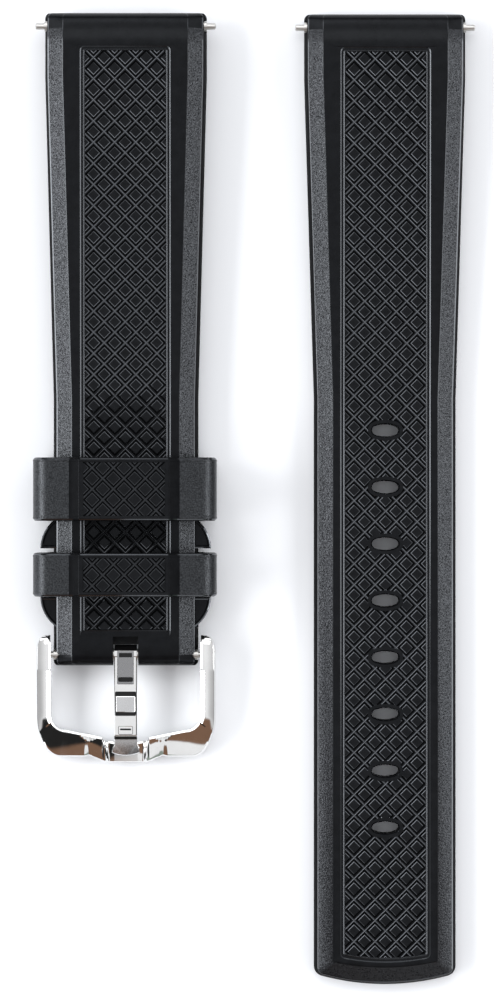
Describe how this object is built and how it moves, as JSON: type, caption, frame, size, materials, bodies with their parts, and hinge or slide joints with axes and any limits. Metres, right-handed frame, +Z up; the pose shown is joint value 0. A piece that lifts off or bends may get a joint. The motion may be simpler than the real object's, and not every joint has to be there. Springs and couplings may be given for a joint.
{
  "type": "rubber watch strap",
  "caption": "Two-piece black rubber watch strap with a diamond-patterned panel, keeper loops, oval adjustment holes, a steel pin buckle and sprung lug bars.",
  "frame": {"origin": "on the table, at the centre of the box round both halves as they lie", "axes": "+X from the short half to the long half, +Y along the strap towards the lug ends, +Z up through the patterned face"},
  "size_m": [0.0543, 0.12, 0.0092],
  "materials": {
    "strap_rubber": "fine matt grain on the bevels, satin on the plateau, raised diamonds with worn bright edges",
    "keeper_rubber": "satin sides, fine grain on the shoulders, raised diamonds on the pad",
    "buckle_steel": "polished stainless steel",
    "bar_steel": "turned stainless steel"
  },
  "bodies": {
    "straps": {"short_strap": "strap_rubber", "fixed_keeper": "keeper_rubber", "long_strap": "strap_rubber"},
    "keeper": {"sliding_keeper": "keeper_rubber"},
    "buckle": {"buckle_frame": "buckle_steel", "buckle_bar_tube": "bar_steel", "buckle_bar_spring": "bar_steel"},
    "tongue": {"buckle_tongue": "buckle_steel"},
    "buckle_tip_left": {"buckle_bar_pin_left": "bar_steel"},
    "buckle_tip_right": {"buckle_bar_pin_right": "bar_steel"},
    "short_bar": {"short_bar_tube": "bar_steel", "short_bar_spring": "bar_steel"},
    "short_tip_left": {"short_bar_pin_left": "bar_steel"},
    "short_tip_right": {"short_bar_pin_right": "bar_steel"},
    "long_bar": {"long_bar_tube": "bar_steel", "long_bar_spring": "bar_steel"},
    "long_tip_left": {"long_bar_pin_left": "bar_steel"},
    "long_tip_right": {"long_bar_pin_right": "bar_steel"}
  },
  "joints": [
    {"name": "keeper_slide", "type": "slide", "parent": "straps", "child": "keeper", "axis": [0, 1, 0], "range_m": [-0.0006, 0.028]},
    {"name": "buckle_turn", "type": "hinge", "parent": "straps", "child": "buckle", "pos_m": [-0.016, -0.01905, 0.00265], "axis": [-1, 0, 0], "range_deg": [-110, 20]},
    {"name": "tongue_swing", "type": "hinge", "parent": "buckle", "child": "tongue", "pos_m": [-0.016, -0.01905, 0.00265], "axis": [-1, 0, 0], "range_deg": [0, 90]},
    {"name": "buckle_tip_left_push", "type": "slide", "parent": "buckle", "child": "buckle_tip_left", "axis": [-1, 0, 0], "range_m": [-0.0011, 0], "stiffness_N_per_m": 200, "springref_m": 0.002, "deforming": ["buckle_bar_spring"]},
    {"name": "buckle_tip_right_push", "type": "slide", "parent": "buckle", "child": "buckle_tip_right", "axis": [1, 0, 0], "range_m": [-0.0011, 0], "stiffness_N_per_m": 200, "springref_m": 0.002, "deforming": ["buckle_bar_spring"]},
    {"name": "short_bar_turn", "type": "hinge", "parent": "straps", "child": "short_bar", "pos_m": [-0.016, 0.05835, 0.00295], "axis": [1, 0, 0], "continuous": true},
    {"name": "short_tip_left_push", "type": "slide", "parent": "short_bar", "child": "short_tip_left", "axis": [-1, 0, 0], "range_m": [-0.0011, 0], "stiffness_N_per_m": 200, "springref_m": 0.002, "deforming": ["short_bar_spring"]},
    {"name": "short_tip_right_push", "type": "slide", "parent": "short_bar", "child": "short_tip_right", "axis": [1, 0, 0], "range_m": [-0.0011, 0], "stiffness_N_per_m": 200, "springref_m": 0.002, "deforming": ["short_bar_spring"]},
    {"name": "long_bar_turn", "type": "hinge", "parent": "straps", "child": "long_bar", "pos_m": [0.016, 0.05835, 0.00165], "axis": [1, 0, 0], "continuous": true},
    {"name": "long_tip_left_push", "type": "slide", "parent": "long_bar", "child": "long_tip_left", "axis": [-1, 0, 0], "range_m": [-0.0011, 0], "stiffness_N_per_m": 200, "springref_m": 0.002, "deforming": ["long_bar_spring"]},
    {"name": "long_tip_right_push", "type": "slide", "parent": "long_bar", "child": "long_tip_right", "axis": [1, 0, 0], "range_m": [-0.0011, 0], "stiffness_N_per_m": 200, "springref_m": 0.002, "deforming": ["long_bar_spring"]}
  ]
}
